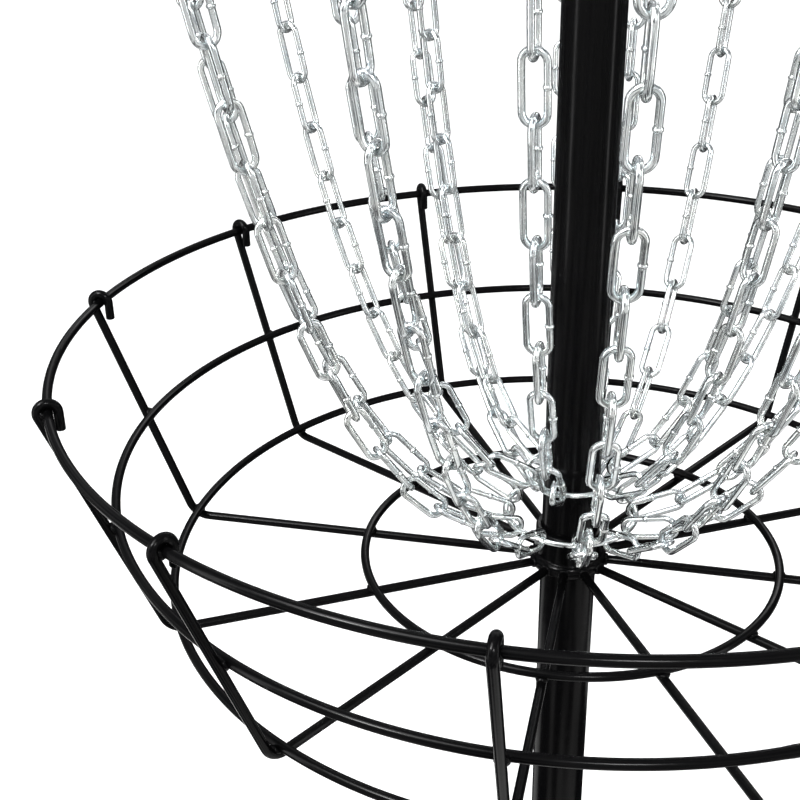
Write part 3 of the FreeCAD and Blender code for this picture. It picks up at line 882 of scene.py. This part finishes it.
def backdrop():
    """Pale floor past the horizon of every view, which the object reflects as dark and light cards."""
    bpy.ops.mesh.primitive_circle_add(vertices=96, radius=FLOOR_R, fill_type="NGON")
    floor = bpy.context.object
    floor.name = "floor"
    material, tree, shine = shader("pale_floor")
    shine.inputs["Roughness"].default_value = 0.9
    shine.inputs["Specular IOR Level"].default_value = 0.1
    pale = tinted(tree, noise(tree, 3.0), FLOOR_SEEN_LOW, FLOOR_SEEN_HIGH)
    seen = added(tree, "ShaderNodeLightPath").outputs["Is Camera Ray"]
    place = added(tree, "ShaderNodeTexCoord").outputs["Object"]
    pattern = shaded_behind(tree, noise(tree, CARD_SCALE, 1.0), place, CARD_FALL)
    cards = ranged(tree, pattern, 0.0, 1.0, *CARD_EDGE)
    reflected = tinted(tree, cards, FLOOR_DARK, FLOOR_LIGHT)
    tree.links.new(tinted(tree, seen, reflected, pale), shine.inputs["Base Color"])
    floor.data.materials.append(material)


def studio_world():
    """White to the camera; what the object reflects is a dim room that brightens overhead."""
    world = bpy.data.worlds.new("studio")
    world.use_nodes = True
    tree = world.node_tree
    back = tree.nodes["Background"]
    place = added(tree, "ShaderNodeTexCoord").outputs["Generated"]
    parts = added(tree, "ShaderNodeSeparateXYZ", {"Vector": place})
    level = ranged(tree, parts.outputs["Z"], 0.0, 1.0, 0.0, 0.9)
    panels = added(tree, "ShaderNodeTexNoise", {"Vector": place, "Scale": PANEL_SCALE, "Detail": 0.0})
    pattern = shaded_behind(tree, panels.outputs["Fac"], place, PANEL_FALL)
    lit = ranged(tree, pattern, 0.0, 1.0, *PANEL_EDGE)
    room = tinted(tree, lit, tinted(tree, level, ROOM_LOW, ROOM_HIGH), ROOM_PANELS)
    seen = added(tree, "ShaderNodeLightPath")
    tree.links.new(tinted(tree, seen.outputs["Is Camera Ray"], room, (1.0, 1.0, 1.0)), back.inputs["Color"])
    bpy.context.scene.world = world


def overhead_sun():
    """Very large soft light, even over the whole floor."""
    light = bpy.data.lights.new("overhead", "SUN")
    light.energy = SUN_STRENGTH
    light.angle = math.radians(SUN_SPREAD)
    lamp = bpy.data.objects.new("overhead", light)
    lamp.rotation_euler = Vector(SUN_FROM).to_track_quat("Z", "Y").to_euler()
    bpy.context.scene.collection.objects.link(lamp)


def softbox(name, at, aim, size, power):
    """Rectangular lamp at a place, turned to an aim and hidden from the camera."""
    light = bpy.data.lights.new(name, "AREA")
    light.shape = "RECTANGLE"
    light.size, light.size_y = size
    light.energy = power
    lamp = bpy.data.objects.new(name, light)
    lamp.location = at
    lamp.rotation_euler = (Vector(aim) - Vector(at)).to_track_quat("-Z", "Y").to_euler()
    lamp.visible_camera = False
    bpy.context.scene.collection.objects.link(lamp)


def photo_camera():
    """Camera at the photograph's viewing angle."""
    yaw, pitch, roll = (math.radians(a) for a in (CAMERA_YAW, CAMERA_PITCH, CAMERA_ROLL))
    ahead = Vector((math.sin(yaw) * math.cos(pitch), math.cos(yaw) * math.cos(pitch), -math.sin(pitch)))
    right = Vector((math.cos(yaw), -math.sin(yaw), 0.0))
    down = ahead.cross(right)
    rolled_right = math.cos(roll) * right + math.sin(roll) * down
    rolled_up = math.sin(roll) * right - math.cos(roll) * down
    lens = bpy.data.cameras.new("camera")
    lens.lens = CAMERA_LENS
    camera = bpy.data.objects.new("camera", lens)
    turned_by = Matrix((rolled_right, rolled_up, -ahead)).transposed().to_4x4()
    camera.matrix_world = Matrix.Translation(CAMERA_AT) @ turned_by
    bpy.context.scene.collection.objects.link(camera)
    bpy.context.scene.camera = camera


backdrop()
studio_world()
overhead_sun()
for name, place, size, watts in SOFTBOXES:
    softbox(name, place, middle("middle_ring"), size, watts)
photo_camera()
bpy.context.scene.view_settings.view_transform = "Standard"
